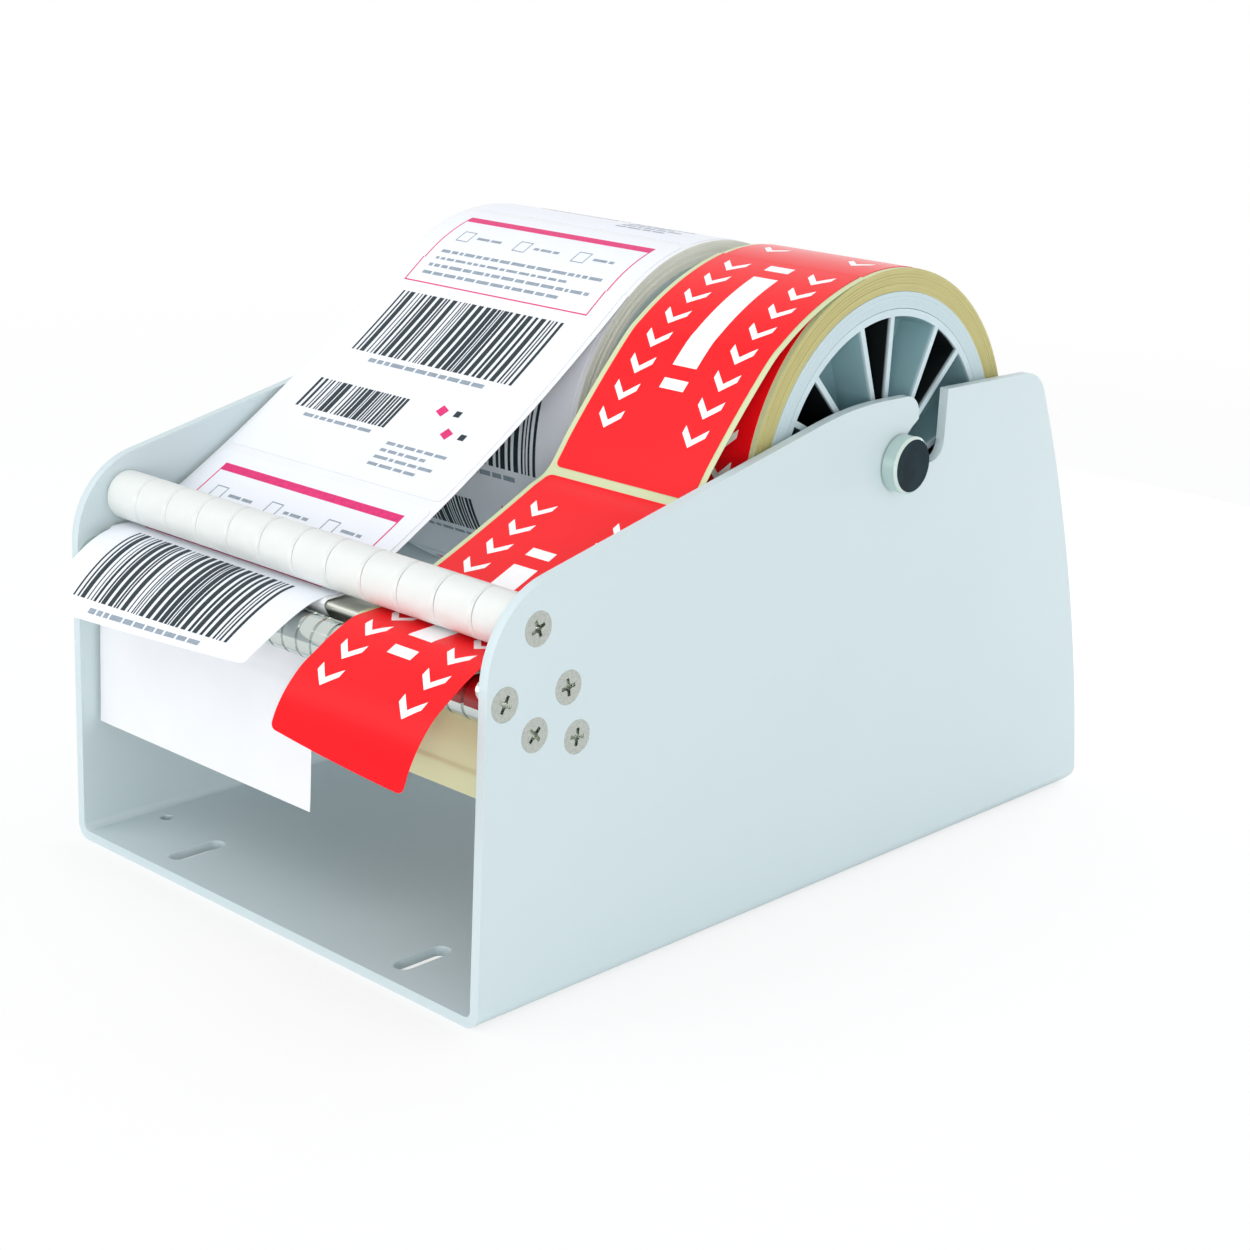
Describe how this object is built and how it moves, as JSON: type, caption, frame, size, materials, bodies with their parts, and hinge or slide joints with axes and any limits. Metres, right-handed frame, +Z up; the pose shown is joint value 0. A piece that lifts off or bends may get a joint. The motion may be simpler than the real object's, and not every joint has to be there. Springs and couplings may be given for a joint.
{
  "type": "label dispenser",
  "caption": "Bench-top dispenser: a folded steel channel carries two label rolls on a loose spindle, guide rollers, a peel bar and a front rod.",
  "frame": {"origin": "centre of the flat underside of the channel", "axes": "+X to the machine's right, -Y to its front where the labels come out, +Z up"},
  "size_m": [0.191, 0.3076, 0.1873],
  "materials": {
    "powder_coat": "smooth powder coat, semi-gloss",
    "drawn_rod": "drawn bar",
    "polished_rod": "mirror polished",
    "mill_aluminium": "mill finish extrusion",
    "nickel_screw": "nickel plated",
    "turned_cap": "turned and polished",
    "wheel_moulding": "moulded, fine satin",
    "roller_moulding": "moulded, satin",
    "core_board": "wound board",
    "wound_white": "edges of wound paper",
    "wound_red": "edges of wound paper, red faces",
    "white_liner": "silicone coated",
    "glassine_liner": "glassine, slightly glossy",
    "white_label": "coated label stock with printed bars",
    "red_label": "gloss printed label stock"
  },
  "bodies": {
    "frame": {"body_channel": "powder_coat", "roller_rod": "drawn_rod", "front_rod": "polished_rod", "peel_bar": "mill_aluminium", "screws_left": "nickel_screw", "screws_right": "nickel_screw", "wide_liner": "white_liner", "wide_label_front": "white_label", "wide_label_rear": "white_label", "narrow_liner": "glassine_liner", "narrow_label_front": "red_label", "narrow_label_rear": "red_label"},
    "spindle": {"spindle": "drawn_rod", "spindle_cap_left": "turned_cap", "spindle_cap_right": "turned_cap"},
    "wide_roll": {"wide_wheel_left": "wheel_moulding", "wide_wheel_right": "wheel_moulding", "wide_core": "core_board", "wide_roll": "wound_white"},
    "narrow_roll": {"narrow_wheel_left": "wheel_moulding", "narrow_wheel_right": "wheel_moulding", "narrow_core": "core_board", "narrow_roll": "wound_red"},
    "guide_roller_1": {"guide_roller_1": "roller_moulding"},
    "guide_roller_2": {"guide_roller_2": "roller_moulding"},
    "guide_roller_3": {"guide_roller_3": "roller_moulding"},
    "guide_roller_4": {"guide_roller_4": "roller_moulding"},
    "guide_roller_5": {"guide_roller_5": "roller_moulding"},
    "guide_roller_6": {"guide_roller_6": "roller_moulding"},
    "guide_roller_7": {"guide_roller_7": "roller_moulding"},
    "guide_roller_8": {"guide_roller_8": "roller_moulding"},
    "guide_roller_9": {"guide_roller_9": "roller_moulding"},
    "guide_roller_10": {"guide_roller_10": "roller_moulding"},
    "guide_roller_11": {"guide_roller_11": "roller_moulding"},
    "guide_roller_12": {"guide_roller_12": "roller_moulding"}
  },
  "joints": [
    {"name": "spindle_lift", "type": "slide", "parent": "frame", "child": "spindle", "axis": [0, 0.829, 0.5592], "range_m": [0, 0.02], "deforming": ["wide_liner", "wide_label_rear", "wide_label_front", "narrow_liner", "narrow_label_rear", "narrow_label_front"]},
    {"name": "wide_roll_spin", "type": "hinge", "parent": "spindle", "child": "wide_roll", "pos_m": [0, 0.0239, 0.1247], "axis": [1, 0, 0], "continuous": true},
    {"name": "narrow_roll_spin", "type": "hinge", "parent": "spindle", "child": "narrow_roll", "pos_m": [0, 0.0239, 0.1247], "axis": [1, 0, 0], "continuous": true},
    {"name": "guide_roller_1_spin", "type": "hinge", "parent": "frame", "child": "guide_roller_1", "pos_m": [0, -0.1259, 0.1078], "axis": [1, 0, 0], "continuous": true},
    {"name": "guide_roller_2_spin", "type": "hinge", "parent": "frame", "child": "guide_roller_2", "pos_m": [0, -0.1259, 0.1078], "axis": [1, 0, 0], "continuous": true},
    {"name": "guide_roller_3_spin", "type": "hinge", "parent": "frame", "child": "guide_roller_3", "pos_m": [0, -0.1259, 0.1078], "axis": [1, 0, 0], "continuous": true},
    {"name": "guide_roller_4_spin", "type": "hinge", "parent": "frame", "child": "guide_roller_4", "pos_m": [0, -0.1259, 0.1078], "axis": [1, 0, 0], "continuous": true},
    {"name": "guide_roller_5_spin", "type": "hinge", "parent": "frame", "child": "guide_roller_5", "pos_m": [0, -0.1259, 0.1078], "axis": [1, 0, 0], "continuous": true},
    {"name": "guide_roller_6_spin", "type": "hinge", "parent": "frame", "child": "guide_roller_6", "pos_m": [0, -0.1259, 0.1078], "axis": [1, 0, 0], "continuous": true},
    {"name": "guide_roller_7_spin", "type": "hinge", "parent": "frame", "child": "guide_roller_7", "pos_m": [0, -0.1259, 0.1078], "axis": [1, 0, 0], "continuous": true},
    {"name": "guide_roller_8_spin", "type": "hinge", "parent": "frame", "child": "guide_roller_8", "pos_m": [0, -0.1259, 0.1078], "axis": [1, 0, 0], "continuous": true},
    {"name": "guide_roller_9_spin", "type": "hinge", "parent": "frame", "child": "guide_roller_9", "pos_m": [0, -0.1259, 0.1078], "axis": [1, 0, 0], "continuous": true},
    {"name": "guide_roller_10_spin", "type": "hinge", "parent": "frame", "child": "guide_roller_10", "pos_m": [0, -0.1259, 0.1078], "axis": [1, 0, 0], "continuous": true},
    {"name": "guide_roller_11_spin", "type": "hinge", "parent": "frame", "child": "guide_roller_11", "pos_m": [0, -0.1259, 0.1078], "axis": [1, 0, 0], "continuous": true},
    {"name": "guide_roller_12_spin", "type": "hinge", "parent": "frame", "child": "guide_roller_12", "pos_m": [0, -0.1259, 0.1078], "axis": [1, 0, 0], "continuous": true}
  ],
  "couplings": [
    {"joint": "guide_roller_1_spin", "follows": "wide_roll_spin", "ratio": -8.3221},
    {"joint": "guide_roller_2_spin", "follows": "wide_roll_spin", "ratio": -8.3221},
    {"joint": "guide_roller_3_spin", "follows": "wide_roll_spin", "ratio": -8.3221},
    {"joint": "guide_roller_4_spin", "follows": "wide_roll_spin", "ratio": -8.3221},
    {"joint": "guide_roller_5_spin", "follows": "wide_roll_spin", "ratio": -8.3221},
    {"joint": "guide_roller_6_spin", "follows": "wide_roll_spin", "ratio": -8.3221},
    {"joint": "guide_roller_7_spin", "follows": "wide_roll_spin", "ratio": -8.3221},
    {"joint": "guide_roller_9_spin", "follows": "narrow_roll_spin", "ratio": -8.4027},
    {"joint": "guide_roller_10_spin", "follows": "narrow_roll_spin", "ratio": -8.4027},
    {"joint": "guide_roller_11_spin", "follows": "narrow_roll_spin", "ratio": -8.4027},
    {"joint": "guide_roller_12_spin", "follows": "narrow_roll_spin", "ratio": -8.4027}
  ]
}
